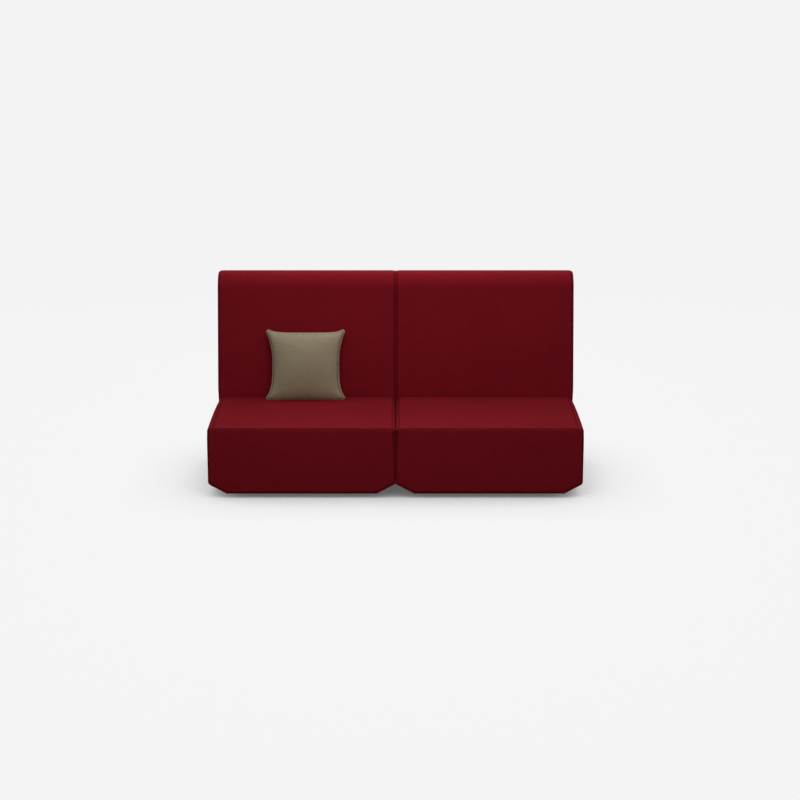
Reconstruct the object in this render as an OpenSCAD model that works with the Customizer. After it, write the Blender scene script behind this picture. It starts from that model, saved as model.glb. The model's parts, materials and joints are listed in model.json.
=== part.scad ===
// Two-seat sofa of two armless modules with a scatter cushion, in millimetres.
// X runs along the sofa, Y from front to rear and Z up. The origin lies on the floor,
// under the middle of the whole sofa's box.

/* [Module] */
// Width of one module over its cover
module_w = 849; // [760:1:920]
// Space between the two modules
module_gap = 2; // [1:0.5:6]
// Height of the seat's front crease above the floor
seat_h = 322; // [300:1:380]
// Depth of the seat at the crease's height, from its front face to the back
seat_depth = 651; // [580:1:720]
// Height of the back's top above the floor
back_h = 908; // [820:1:980]
// Thickness of the back
back_t = 165; // [150:1:190]
// Lean of the back from upright, in degrees
lean = 9.6; // [6:0.1:12]
// Space between the floor and the upholstery's underside
floor_gap = 21; // [18:1:40]

/* [Seat form] */
// Rise of the seat's top in the middle of its depth
seat_crown = 8; // [2:0.5:14]
// Further rise of the seat's top in the middle of its width
cross_crown = 3; // [0.5:0.5:8]
// Radius of the top's side edges at the front
side_r_front = 8; // [5:0.5:14]
// Radius of the top's side edges at the back
side_r_rear = 30; // [16:1:40]
// Radius round the edge of the front face
front_r = 6; // [5:0.5:12]
// Radius of the front crease, where the top panel meets the front panel
crease_r = 3; // [2.6:0.1:6]
// Radius of the seat's rear edges, which press against the back
rear_r = 4; // [3:0.5:4.5]
// Width of the bevel along each lower side
bevel_w = 90; // [70:1:110]
// Height of that bevel
bevel_h = 46; // [36:1:56]
// Radius between the bevel and the underside
bevel_low_r = 25; // [20:1:32]
// Radius between the bevel and the side
bevel_high_r = 21; // [19:1:28]

/* [Back form] */
// Radius along the back's outer side edge
back_edge_r = 16; // [8:1:20]
// Radius along the back's inner side edge, where the two backs touch
back_inner_r = 5; // [4:0.5:12]
// Radius along the back's lower edges
back_foot_r = 3; // [2.6:0.1:3]
// How far the back's front face swells
back_crown = 4; // [1:0.5:8]
// Running gap between the seat's rear face and the back
back_gap = 0.6; // [0.4:0.1:1.5]

/* [Covers and padding] */
// Thickness of the felt covers
cover_t = 2; // [1.5:0.1:2.4]
// Slack between a cover and what it holds
slack = 0.3; // [0.2:0.05:0.5]
// Thickness of the padding on the base's front and sides
padding_t = 14; // [10:1:24]
// Width of the hem that the seat cover turns under the base
hem_w = 72; // [66:1:90]
// Thickness of the black cloth under the base
dust_t = 1.2; // [0.6:0.1:1.6]
// Overlap of that cloth and the hem
dust_lap = 12; // [6:1:12]

/* [Base frame] */
// Thickness of the plywood panels
panel_t = 18; // [15:1:21]
// Height of the frame's top edge above the floor
frame_h = 190; // [170:1:210]
// Distance from the cover's outside to the wood at the underside and the bevel
frame_in = 3.5; // [3.2:0.1:5]
// Thickness of the bevel's boards
bevel_board_t = 12; // [9:1:15]
// Width of the two skids that run from front to rear
skid_w = 66; // [60:1:70]
// Height of the skids
skid_h = 28; // [24:1:36]
// Width of the cross rail on the skids
cross_rail_w = 60; // [40:1:90]
// Height of the cross rail
cross_rail_h = 28; // [20:1:40]
// Leg of the triangular corner blocks
block_leg = 50; // [35:1:70]
// Height of the corner blocks
block_h = 70; // [50:1:80]

/* [Webbing] */
// Width of the elastic straps
strap_w = 60; // [50:1:66]
// Thickness of the straps
strap_t = 1.5; // [1:0.1:2.2]
// Gap between two straps that cross
weave_gap = 0.3; // [0.2:0.1:0.6]
// Straps that run from front to rear under the seat
long_straps = 6; // [4:1:7]
// Straps that run across under the seat
cross_straps = 5; // [3:1:5]
// Straps across the back's frame
back_straps = 4; // [3:1:5]

/* [Back frame] */
// Thickness of the foam in front of the back's frame
back_foam_t = 58; // [45:1:65]
// Depth of the back's frame behind that foam
back_frame_t = 58; // [45:1:62]
// Thickness of the uprights
upright_t = 30; // [24:1:36]
// Height of the top rail's section
top_rail_h = 30; // [24:1:40]
// Distance from the top of the back down to the top rail
top_rail_drop = 137; // [125:1:160]
// Height of the bottom rails' section
foot_rail_h = 30; // [24:1:40]

/* [Brackets] */
// Distance of the brackets from the module's middle
bracket_x = 200; // [150:1:260]
// Height of the sockets' top edge above the floor
socket_z = 92; // [88:1:100]
// Length of a socket
socket_h = 50; // [44:1:54]
// Thickness of the socket's sheet
socket_t = 1.5; // [1.2:0.1:2]
// Width of the socket's flanges
flange_w = 13; // [12:0.5:16]
// Width of a tongue
tongue_w = 40; // [34:1:50]
// Thickness of a tongue
tongue_t = 2; // [1.5:0.1:2.5]
// Length of the tongue inside its socket
tongue_in = 45; // [36:1:48]
// Length of the tongue's screwed part
tongue_pad = 55; // [45:1:64]
// Height over which the tongue steps back from the base to the back
tongue_step = 12; // [9:1:16]
// How far the back lifts until it is free of the base
lift = 70; // [60:1:76]
// Running clearance round a tongue
tongue_fit = 0.3; // [0.2:0.05:0.5]

/* [Glides, screws and links] */
// Radius of the glides
glide_r = 24; // [20:1:25]
// Distance of the glides from the base's front and rear lower edges
glide_inset = 100; // [60:1:110]
// Distance between the front and rear link holes
link_pitch = 220; // [190:1:230]
// Radius of the link holes in the skids
link_hole_r = 4.1; // [4.05:0.05:4.5]
// Radius of the link bolts' shanks
link_bolt_r = 4; // [3:0.05:4]
// Length of the link bolts under their heads
link_bolt_l = 28; // [20:1:31]
// Width of the link plates
link_plate_w = 40; // [30:1:46]
// Thickness of the link plates
link_plate_t = 4; // [3:0.5:6]
// Radius of the wood screws' shanks
screw_r = 2; // [1.5:0.1:2.5]
// Length of the wood screws
screw_l = 12; // [9:0.5:13]

/* [Scatter cushion] */
// Width of the cushion from tip to tip
cushion_w = 372; // [340:1:420]
// Thickness of the cushion in its middle
cushion_t = 116; // [90:1:140]
// Height of the cushion along the back, from its foot to its upper tips
cushion_h = 338; // [300:1:400]
// How far the middle of each side draws in
cushion_draw = 26; // [12:1:36]
// How far the middle of the top edge dips
cushion_dip = 17; // [8:1:30]
// Thickness of the cushion's cover
cushion_cover_t = 1.2; // [0.8:0.1:2]
// Width of the flat seam round the cushion
cushion_seam = 6; // [4:0.5:9]
// Length of the zip in the cushion's lower seam
zip_l = 240; // [160:1:260]
// Width of the zip
zip_w = 6; // [4:0.5:8]
// Shift of the cushion from the middle of its seat
cushion_x = -3; // [-150:1:150]

/* [Hidden] */
$fn = 32;

wine_felt = [0.38, 0.05, 0.09];
greige_felt = [0.55, 0.49, 0.40];
foam_white = [0.93, 0.91, 0.80];
wadding_white = [0.95, 0.95, 0.93];
birch = [0.82, 0.68, 0.48];
strap_black = [0.12, 0.12, 0.13];
zinc = [0.70, 0.71, 0.72];
black_plastic = [0.08, 0.08, 0.08];

half_w = module_w / 2;
module_x = (module_w + module_gap) / 2;
reach = 1200;
foam_in = cover_t + slack;
frame_x = half_w - foam_in - padding_t;
front_y = foam_in + padding_t;
wood_z = floor_gap + frame_in;
bevel_a = atan(bevel_h / bevel_w);
back_r = back_t / 2;

// Places in the leaning frame: y is measured from the seat's rear face, u runs up the back
back_mid = back_gap + back_r;
top_u = (back_h - back_r - seat_h + back_mid * sin(lean)) / cos(lean);
total_depth = seat_depth + back_mid * cos(lean) + top_u * sin(lean) + back_r;
rear_panel_y = -foam_in - panel_t;
lower_panel_y = back_gap + foam_in;
post_y = lower_panel_y + back_foam_t;
post_rear = post_y + back_frame_t;
rail_u = top_u + back_r - top_rail_drop;
socket_u = (socket_z - seat_h) / cos(lean);

// Straps cross in two levels
strap_low = frame_h + strap_t / 2;
strap_high = strap_low + strap_t + weave_gap;
foam_z = frame_h + 2 * strap_t + weave_gap + slack;
padding_z = floor_gap + bevel_h + bevel_high_r;

// Sheet-metal groove, screws and holes
groove_d = tongue_t + 2 * tongue_fit + socket_t - (foam_in - cover_t) + 0.1;
groove_w = tongue_w + 2 * (tongue_fit + socket_t + flange_w) + 2;
pilot_r = screw_r + 0.05;
head_r = 2 * screw_r;
link_head_r = 7.5;
link_head_h = 5.3;
skid_x = half_w - bevel_w - slack - skid_w / 2;
link_out = module_x - skid_x;
link_plate_l = 2 * (link_out + link_plate_w / 2);
rear_glide_y = seat_depth - (seat_h - floor_gap) * tan(lean) - glide_inset;
link_y = (glide_inset + rear_glide_y - link_pitch) / 2;
back_glide_y = seat_depth - (seat_h - floor_gap) * tan(lean) + back_mid / cos(lean);

// The cushion's middle plane and foot, in the leaning frame
cushion_back = -(cushion_t / 2 + back_crown + slack);
cushion_y = seat_depth + cushion_back / cos(lean);
cushion_z = seat_h + crown(cushion_x, cushion_y / seat_depth) + slack;
cushion_u = lean_u(cushion_back, cushion_z);

// Placing

module left() {
    translate([-module_x, -total_depth / 2, 0]) children();
}

module right() {
    translate([module_x, -total_depth / 2, 0]) children();
}

module middle() {
    translate([0, -total_depth / 2, 0]) children();
}

module leaning() {
    translate([0, seat_depth, seat_h]) rotate([-lean, 0, 0]) children();
}

module both_sides(x) {
    for (side = [-1, 1]) translate([side * x, 0, 0]) children();
}

// Everything behind a plane that leans with the back, at the distance y from the seat's rear face
module behind(y) {
    leaning() translate([-reach, y, -reach]) cube([2 * reach, reach, 2 * reach]);
}

module above(z) {
    translate([-reach, -reach, z]) cube([2 * reach, 3 * reach, reach]);
}

module below(z) {
    translate([-reach, -reach, z - reach]) cube([2 * reach, 3 * reach, reach]);
}

// The leaning frame's height of the point at the distance y there and at the height z above the floor
function lean_u(y, z) = (z - seat_h + y * sin(lean)) / cos(lean);

// Outlines and lofts

function unit(v) = v / norm(v);

// The arc of radius r that rounds the corner b between a and c, as n + 1 points
function fillet(a, b, c, r, n) =
    let (
        u = unit(a - b),
        v = unit(c - b),
        half = acos(u * v) / 2,
        centre = b + unit(u + v) * r / sin(half),
        from = b + u * r / tan(half) - centre,
        to = b + v * r / tan(half) - centre,
        a0 = atan2(from.y, from.x),
        turn = atan2(to.y, to.x) - a0,
        sweep = turn > 180 ? turn - 360 : turn < -180 ? turn + 360 : turn
    )
    [for (i = [0:n]) centre + r * [cos(a0 + sweep * i / n), sin(a0 + sweep * i / n)]];

function middle_of(ring) = [for (k = [0:2]) [for (p = ring) p[k]] * [for (p = ring) 1] / len(ring)];

// A closed skin of triangles over rings of points, each end closed by a fan
module loft(rings) {
    n = len(rings[0]);
    last = len(rings) - 1;
    points = concat([for (ring = rings) for (p = ring) p], [middle_of(rings[0]), middle_of(rings[last])]);
    hub = n * (last + 1);
    walls = [
        for (i = [0:last - 1])
            for (j = [0:n - 1])
                let (k = (j + 1) % n, a = i * n, b = a + n)
                    each [[a + j, a + k, b + k], [a + j, b + k, b + j]]
    ];
    first_end = [for (j = [0:n - 1]) [hub, (j + 1) % n, j]];
    last_end = [for (j = [0:n - 1]) [hub + 1, last * n + j, last * n + (j + 1) % n]];
    polyhedron(points, concat(walls, first_end, last_end));
}

// Height of the bevel's line above the floor at x, moved inwards by q
function bevel_z(x, q) = floor_gap + (q + (x - half_w + bevel_w) * sin(bevel_a)) / cos(bevel_a);

// Rise of the seat's top at x and at the share t of its depth
function crown(x, t) = 4 * t * (1 - t) * (seat_crown + cross_crown * (1 - pow(x / half_w, 2)));

// One ring of the seat, at the depth y: its sides and underside drawn in by q, its top by top_in
function seat_ring(y, q, top_in) =
    let (
        t = y / seat_depth,
        w = half_w - q,
        low = floor_gap + q,
        top = seat_h - top_in + 4 * t * (1 - t) * seat_crown,
        foot = [half_w - bevel_w - q * tan(bevel_a / 2), low],
        knee = [w, bevel_z(w, q)],
        round = max(side_r_front + (side_r_rear - side_r_front) * t - top_in, 0.5),
        right = concat(
            fillet([0, low], foot, knee, bevel_low_r - q, 2),
            fillet(foot, knee, [w, top], bevel_high_r - q, 3),
            fillet(knee, [w, top], [0, top], round, 4),
            [[w / 2, seat_h - top_in + crown(w / 2, t)]]
        ),
        left = [for (i = [len(right) - 1:-1:0]) [-right[i].x, right[i].y]],
        ring = concat(right, [[0, seat_h - top_in + crown(0, t)]], left)
    )
    [for (p = ring) [p.x, y + (p.y - seat_h) * tan(lean) * t, p.y]];

// How far the crease draws the top in at the distance y behind the front face
function crease_in(y, q) =
    y >= crease_r ? q : crease_r - sqrt(max(pow(crease_r - q, 2) - pow(crease_r - y, 2), 0));

// The seat's outer form, drawn in by q all round
module seat_form(q) {
    front = [
        for (a = [90, 58, 30, 0])
            let (y = front_r - (front_r - q) * sin(a))
                seat_ring(y, front_r - (front_r - q) * cos(a), crease_in(y, q))
    ];
    top_rings = 6;
    top = [for (i = [1:top_rings - 1]) seat_ring(front_r + (seat_depth - front_r - rear_r) * i / top_rings, q, q)];
    rear = [
        for (a = [0, 45, 90])
            let (inwards = rear_r - (rear_r - q) * cos(a))
                seat_ring(seat_depth - (rear_r - (rear_r - q) * sin(a)) / cos(lean), inwards, inwards)
    ];
    loft(concat(front, top, rear));
}

// Height of the back's underside at x, which follows the seat's bevels
function back_foot_z(x, q) =
    let (
        ax = abs(x),
        low_x = half_w - bevel_w - bevel_low_r * tan(bevel_a / 2),
        high_x = half_w - bevel_high_r,
        high_z = floor_gap + bevel_h + bevel_high_r * tan(45 - bevel_a / 2)
    )
    ax <= low_x ? floor_gap + q :
    ax < low_x + (bevel_low_r - q) * sin(bevel_a) ?
        floor_gap + bevel_low_r - sqrt(pow(bevel_low_r - q, 2) - pow(ax - low_x, 2)) :
    ax < high_x + (bevel_high_r - q) * sin(bevel_a) ? bevel_z(ax, q) :
    high_z - sqrt(max(pow(bevel_high_r - q, 2) - pow(ax - high_x, 2), 0));

// One ring of the back at x, in the leaning frame: its faces drawn in by face_in, its underside by q
function back_ring(x, face_in, q) =
    let (
        y0 = back_gap + face_in,
        y1 = back_gap + back_t - face_in,
        z = back_foot_z(x, q),
        low0 = lean_u(y0, z),
        low1 = lean_u(y1, z),
        foot_r = max(back_foot_r - q, 0.5),
        swell = back_crown * (1 - pow(x / half_w, 2)),
        ring = concat(
            fillet([y1, low1], [y0, low0], [y0, top_u], foot_r, 2),
            [for (s = [0, 0.2, 0.5, 0.8]) [y0 - swell * sin(180 * s), s * top_u]],
            [for (i = [0:16]) [back_mid - (back_r - face_in) * cos(180 * i / 16),
                               top_u + (back_r - face_in) * sin(180 * i / 16)]],
            fillet([y1, top_u], [y1, low1], [y0, low0], foot_r, 2)
        )
    )
    [for (p = ring) [x, p.x, p.y]];

// Places across one half of the back from its side to its middle, each with the depth that its edge
// of radius r draws the faces in there
function back_half(r, q) =
    let (
        low_x = half_w - bevel_w - bevel_low_r * tan(bevel_a / 2),
        arc_x = (bevel_low_r - q) * sin(bevel_a),
        knee = [for (a = [45, bevel_a]) half_w - bevel_high_r + (bevel_high_r - q) * sin(a)]
    )
    concat(
        [for (a = [90, 60, 30, 0]) [half_w - r + (r - q) * sin(a), r - (r - q) * cos(a)]],
        [for (x = concat(knee, [low_x + arc_x, low_x, low_x / 2])) if (x < half_w - r - slack) [x, q]]
    );

// The back's outer form, drawn in by q all round. Its inner side faces the way that hand points.
module back_form(q, hand) {
    outer = back_half(back_edge_r, q);
    inner = back_half(back_inner_r, q);
    left = hand > 0 ? outer : inner;
    right = hand > 0 ? inner : outer;
    across = concat([for (s = left) [-s.x, s.y]], [[0, q]], [for (i = [len(right) - 1:-1:0]) right[i]]);
    leaning() loft([for (s = across) back_ring(s.x, s.y, q)]);
}

// The wood's outline across the module, drawn along the whole depth up to the height top
module frame_prism(top) {
    low_x = half_w - bevel_w - frame_in * tan(bevel_a / 2);
    knee_z = bevel_z(frame_x, frame_in);
    outline = [
        [-low_x, wood_z], [low_x, wood_z], [frame_x, knee_z],
        [frame_x, top], [-frame_x, top], [-frame_x, knee_z]
    ];
    translate([0, reach, 0]) rotate([90, 0, 0]) linear_extrude(2 * reach) polygon(outline);
}

// A plate in the leaning frame, cut to the wood's outline
module leaning_panel(y, thickness, top) {
    intersection() {
        frame_prism(top);
        leaning() translate([-reach, y, -reach]) cube([2 * reach, thickness, 2 * reach]);
    }
}

// A strap: a flat band of width w along the path, which runs in Y and Z
module band(path, w) {
    t = strap_t / 2;
    rim = concat([for (p = path) [p.x, p.y - t]], [for (i = [len(path) - 1:-1:0]) path[i] + [0, t]]);
    translate([-w / 2, 0, 0]) rotate([90, 0, 90]) linear_extrude(w) polygon(rim);
}

// Base frame

module front_panel() {
    color(birch)
        intersection() {
            frame_prism(frame_h);
            translate([-reach, front_y, 0]) cube([2 * reach, panel_t, reach]);
        }
}

module rear_panel() {
    color(birch)
        difference() {
            leaning_panel(rear_panel_y, panel_t, frame_h);
            leaning() both_sides(bracket_x) {
                translate([-groove_w / 2, -foam_in - groove_d, socket_u - socket_h - 1])
                    cube([groove_w, groove_d + 1, reach]);
                socket_screw_places() rotate([90, 0, 0]) cylinder(r = pilot_r, h = screw_l);
            }
        }
}

module side_panels() {
    foot_in = frame_in + bevel_board_t;
    outer = frame_x;
    inner = frame_x - panel_t;
    outline = [[inner, bevel_z(inner, foot_in)], [outer, bevel_z(outer, foot_in)], [outer, frame_h], [inner, frame_h]];
    color(birch)
        for (side = [-1, 1])
            difference() {
                scale([side, 1, 1]) along_base(outline);
                behind(rear_panel_y);
            }
}

// An outline across the module, drawn from the front panel to beyond the rear one
module along_base(outline) {
    translate([0, reach, 0]) rotate([90, 0, 0]) linear_extrude(reach - front_y - panel_t) polygon(outline);
}

module bevel_boards() {
    run = norm([bevel_w, bevel_h]);
    start = [half_w - bevel_w, floor_gap];
    low_end = 8;
    high_end = run - 15;
    dir = [cos(bevel_a), sin(bevel_a)];
    out = [-sin(bevel_a), cos(bevel_a)];
    outline = [
        start + low_end * dir + frame_in * out,
        start + high_end * dir + frame_in * out,
        start + high_end * dir + (frame_in + bevel_board_t) * out,
        start + low_end * dir + (frame_in + bevel_board_t) * out
    ];
    color(birch)
        for (side = [-1, 1])
            difference() {
                scale([side, 1, 1]) along_base(outline);
                behind(rear_panel_y);
            }
}

module skids() {
    outer = skid_x + skid_w / 2;
    outline = [[outer - skid_w, wood_z], [outer, wood_z], [outer, wood_z + skid_h], [outer - skid_w, wood_z + skid_h]];
    color(birch)
        for (side = [-1, 1])
            difference() {
                scale([side, 1, 1]) along_base(outline);
                behind(rear_panel_y);
                translate([side * skid_x, 0, 0]) link_places()
                    translate([0, 0, wood_z - 1]) cylinder(r = link_hole_r, h = skid_h + 2);
                translate([side * skid_x, 0, 0]) glide_places()
                    translate([0, 0, floor_gap]) cylinder(r = pilot_r, h = frame_in + screw_l);
            }
}

module cross_rail() {
    width = 2 * skid_x + skid_w;
    color(birch)
        translate([-width / 2, (seat_depth - cross_rail_w) / 2, wood_z + skid_h])
            cube([width, cross_rail_w, cross_rail_h]);
}

module corner_blocks() {
    x = frame_x - panel_t;
    z = frame_h - 20 - block_h;
    far = seat_depth;
    color(birch)
        for (side = [-1, 1]) {
            scale([side, 1, 1]) translate([0, 0, z]) linear_extrude(block_h)
                polygon([[x, front_y + panel_t], [x, front_y + panel_t + block_leg],
                         [x - block_leg, front_y + panel_t]]);
            difference() {
                scale([side, 1, 1]) translate([0, 0, z]) linear_extrude(block_h)
                    polygon([[x, far], [x - 2 * block_leg, far], [x, far - 2 * block_leg]]);
                behind(rear_panel_y);
            }
        }
}

// Elastic webbing, woven over and under, strapped to the top edges of the panels

function strap_place(i, n, span) = -span / 2 + span * (i + 0.5) / n;

// A strap's path past n crossing ones, of which the even or the odd ones are passed above
function woven_path(ends, crossings, first_high) =
    let (lap = strap_w / 2 + 2)
    concat(
        [[ends[0], strap_low]],
        [
            for (j = [0:len(crossings) - 1])
                let (z = (j % 2 == 0) == first_high ? strap_high : strap_low)
                    each [[crossings[j] - lap, z], [crossings[j] + lap, z]]
        ],
        [[ends[1], strap_low]]
    );

module seat_webbing() {
    web_rear = seat_depth - (seat_h - frame_h) * tan(lean) - (foam_in + 2) / cos(lean);
    inner_front = front_y + panel_t;
    inner_rear = web_rear - panel_t;
    inner_w = 2 * (frame_x - panel_t);
    middle_y = (inner_front + inner_rear) / 2;
    across_y = [for (j = [0:cross_straps - 1]) middle_y + strap_place(j, cross_straps, inner_rear - inner_front)];
    along_x = [for (i = [0:long_straps - 1]) strap_place(i, long_straps, inner_w)];
    color(strap_black) {
        for (i = [0:long_straps - 1])
            translate([along_x[i], 0, 0]) band(woven_path([front_y + 2, web_rear], across_y, i % 2 == 0), strap_w);
        for (j = [0:cross_straps - 1])
            translate([0, across_y[j], 0]) rotate([0, 0, -90])
                band(woven_path([2 - frame_x, frame_x - 2], along_x, j % 2 == 1), strap_w);
    }
}

// Padding and covers of the base

module seat_foam() {
    color(foam_white)
        difference() {
            seat_form(foam_in);
            below(foam_z);
        }
}

module wrap_padding() {
    color(wadding_white)
        difference() {
            seat_form(foam_in);
            above(frame_h);
            translate([-frame_x, front_y, -1]) cube([2 * frame_x, reach, reach]);
            translate([-reach, front_y, -1]) cube([2 * reach, reach, padding_z + 1]);
        }
}

module seat_cover() {
    hem_x = half_w - bevel_w - hem_w;
    hem_y = hem_w - dust_lap;
    hem_rear = seat_depth - (seat_h - floor_gap) * tan(lean) - hem_y;
    slot_w = tongue_w + 4;
    slot_h = tongue_step + lift + 8;
    color(wine_felt)
        difference() {
            seat_form(0);
            seat_form(cover_t);
            translate([-hem_x, hem_y, 0]) cube([2 * hem_x, hem_rear - hem_y, floor_gap + 2 * cover_t]);
            both_sides(skid_x) link_places() cylinder(r = link_bolt_r + 1, h = floor_gap + 2 * cover_t);
            both_sides(skid_x) glide_places() cylinder(r = screw_r + 0.5, h = floor_gap + 2 * cover_t);
            leaning() both_sides(bracket_x) translate([-slot_w / 2, -2 * cover_t, socket_u - 1])
                cube([slot_w, 3 * cover_t, slot_h]);
        }
}

module dust_cloth() {
    x = half_w - bevel_w - hem_w + dust_lap;
    y0 = hem_w - 2 * dust_lap;
    y1 = seat_depth - (seat_h - floor_gap) * tan(lean) - y0;
    color(strap_black)
        translate([-x, y0, floor_gap - dust_t]) cube([2 * x, y1 - y0, dust_t]);
}

// Glides, screws, links and brackets

module glide_places() {
    for (y = [glide_inset, rear_glide_y]) translate([0, y, 0]) children();
}

module link_places() {
    for (y = [link_y, link_y + link_pitch]) translate([0, y, 0]) children();
}

// A turned glide with a well for its screw's head
module glide() {
    well = floor_gap - 6;
    color(black_plastic)
        difference() {
            rotate_extrude() polygon([[0, 0], [glide_r - 3, 0], [glide_r - 1, 2], [glide_r, floor_gap], [0, floor_gap]]);
            translate([0, 0, -1]) cylinder(r = head_r + 1, h = well + 1);
            translate([0, 0, well - 1]) cylinder(r = screw_r + 0.3, h = floor_gap);
        }
}

module glide_screw() {
    well = floor_gap - 6;
    color(zinc) {
        translate([0, 0, well - head_r / 2]) cylinder(r = head_r, h = head_r / 2);
        translate([0, 0, well - 0.5]) cylinder(r = screw_r, h = 6 + frame_in + screw_l - 1);
    }
}

module seat_glides() {
    both_sides(skid_x) glide_places() glide();
}

module seat_glide_screws() {
    both_sides(skid_x) glide_places() glide_screw();
}

module back_glides() {
    both_sides(skid_x) translate([0, back_glide_y, 0]) glide();
}

module back_glide_screws() {
    both_sides(skid_x) translate([0, back_glide_y, 0]) glide_screw();
}

module socket_screw_places() {
    x = tongue_w / 2 + tongue_fit + socket_t + flange_w / 2;
    for (side = [-1, 1], z = [0.22, 0.78])
        translate([side * x, -foam_in - groove_d, socket_u - socket_h * z]) children();
}

// The sockets: pressed hats in the rear panel's grooves, open above and below
module sockets() {
    y0 = -foam_in - groove_d;
    y1 = y0 + tongue_t + 2 * tongue_fit;
    in_x = tongue_w / 2 + tongue_fit;
    out_x = in_x + socket_t;
    rim_x = out_x + flange_w;
    hat = [
        [-rim_x, y0], [-in_x, y0], [-in_x, y1], [in_x, y1], [in_x, y0], [rim_x, y0],
        [rim_x, y0 + socket_t], [out_x, y0 + socket_t], [out_x, y1 + socket_t],
        [-out_x, y1 + socket_t], [-out_x, y0 + socket_t], [-rim_x, y0 + socket_t]
    ];
    color(zinc)
        leaning() both_sides(bracket_x)
            difference() {
                translate([0, 0, socket_u - socket_h]) linear_extrude(socket_h) polygon(hat);
                socket_screw_places() rotate([-90, 0, 0]) translate([0, 0, -1]) cylinder(r = screw_r + 0.2, h = socket_t + 2);
            }
}

module socket_screws() {
    color(zinc)
        leaning() both_sides(bracket_x) socket_screw_places() {
            rotate([90, 0, 0]) translate([0, 0, -socket_t]) cylinder(r = screw_r, h = screw_l + socket_t - 1);
            rotate([-90, 0, 0]) translate([0, 0, socket_t]) cylinder(r = head_r, h = 1.4);
        }
}

module tongue_screw_places() {
    for (s = [0.2, 0.8], side = [-1, 1])
        translate([side * tongue_w / 4, lower_panel_y, socket_u + 3 + tongue_step + tongue_pad * s]) children();
}

// The tongues: joggled plates on the back's lower panel that hang in the sockets
module tongues() {
    y0 = -foam_in - groove_d + tongue_fit;
    y1 = lower_panel_y - tongue_t;
    z0 = socket_u - tongue_in;
    z1 = socket_u + 3;
    z2 = z1 + tongue_step;
    z3 = z2 + tongue_pad;
    side_view = [
        [y0, z0 + 4], [y0 + 0.6, z0], [y0 + tongue_t - 0.6, z0], [y0 + tongue_t, z0 + 4],
        [y0 + tongue_t, z1], [y1 + tongue_t, z2], [y1 + tongue_t, z3], [y1, z3], [y1, z2], [y0, z1]
    ];
    color(zinc)
        leaning() both_sides(bracket_x)
            difference() {
                translate([-tongue_w / 2, 0, 0]) rotate([90, 0, 90]) linear_extrude(tongue_w) polygon(side_view);
                tongue_screw_places() rotate([90, 0, 0]) {
                    cylinder(r1 = screw_r + 0.1, r2 = head_r + 0.1, h = tongue_t);
                    translate([0, 0, -1]) cylinder(r = screw_r + 0.1, h = 2);
                }
            }
}

module tongue_screws() {
    color(zinc)
        leaning() both_sides(bracket_x) tongue_screw_places() {
            rotate([90, 0, 0]) cylinder(r1 = screw_r, r2 = head_r, h = tongue_t);
            rotate([-90, 0, 0]) translate([0, 0, -0.5]) cylinder(r = screw_r, h = screw_l);
        }
}

module link_plates() {
    color(zinc)
        middle() link_places()
            difference() {
                translate([-link_plate_l / 2, -link_plate_w / 2, floor_gap - link_plate_t])
                    cube([link_plate_l, link_plate_w, link_plate_t]);
                both_sides(link_out) cylinder(r = link_bolt_r + 0.3, h = floor_gap + 1);
            }
}

module link_bolts() {
    under = floor_gap - link_plate_t;
    color(zinc)
        middle() link_places() both_sides(link_out) {
            translate([0, 0, under - link_head_h]) cylinder(r = link_head_r, h = link_head_h, $fn = 6);
            translate([0, 0, under - 1]) cylinder(r = link_bolt_r, h = link_bolt_l + 1);
        }
}

// The back's frame, padding and cover

module back_lower_panel() {
    color(birch)
        difference() {
            leaning_panel(lower_panel_y, panel_t, frame_h);
            leaning() both_sides(bracket_x) tongue_screw_places()
                rotate([-90, 0, 0]) translate([0, 0, -1]) cylinder(r = pilot_r, h = screw_l + 2);
        }
}

module back_uprights() {
    y0 = lower_panel_y + panel_t;
    side_view = [
        [post_rear, -seat_h], [y0, -seat_h], [y0, lean_u(y0, frame_h)], [post_y, lean_u(post_y, frame_h)],
        [post_y, rail_u - top_rail_h], [post_rear, rail_u - top_rail_h]
    ];
    color(birch)
        intersection() {
            frame_prism(back_h);
            leaning() for (x = [upright_t / 2 - frame_x, 0, frame_x - upright_t / 2])
                translate([x - upright_t / 2, 0, 0]) rotate([90, 0, 90]) linear_extrude(upright_t) polygon(side_view);
        }
}

module back_rails() {
    y0 = lower_panel_y + panel_t;
    foot_top = wood_z + foot_rail_h;
    inner = upright_t / 2;
    outer = frame_x - upright_t;
    foot_side = [
        [y0, lean_u(y0, 0)], [post_rear, lean_u(post_rear, 0)],
        [post_rear, lean_u(post_rear, foot_top)], [y0, lean_u(y0, foot_top)]
    ];
    color(birch) {
        leaning() translate([-frame_x, post_y, rail_u - top_rail_h]) cube([2 * frame_x, back_frame_t, top_rail_h]);
        for (side = [-1, 1])
            difference() {
                intersection() {
                    frame_prism(back_h);
                    leaning() translate([side > 0 ? inner : -outer, 0, 0])
                        rotate([90, 0, 90]) linear_extrude(outer - inner) polygon(foot_side);
                }
                translate([side * skid_x, back_glide_y, 0]) cylinder(r = pilot_r, h = wood_z + screw_l);
            }
    }
}

module back_webbing() {
    low = 20;
    high = rail_u - top_rail_h - 20;
    color(strap_black)
        leaning() for (i = [0:back_straps - 1])
            translate([2 - frame_x, post_y - strap_t, (low + high) / 2 + strap_place(i, back_straps, high - low) - strap_w / 2])
                cube([2 * frame_x - 4, strap_t, strap_w]);
}

module back_foam(hand) {
    x = frame_x + slack;
    y = post_y - strap_t - slack;
    z = frame_h + slack;
    frame_side = [
        [-reach, lean_u(-reach, z)], [y, lean_u(y, z)], [y, rail_u + slack],
        [reach, rail_u + slack], [reach, -2 * reach], [-reach, -2 * reach]
    ];
    color(foam_white)
        difference() {
            back_form(foam_in, hand);
            leaning() translate([-x, 0, 0]) rotate([90, 0, 90]) linear_extrude(2 * x) polygon(frame_side);
        }
}

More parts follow.
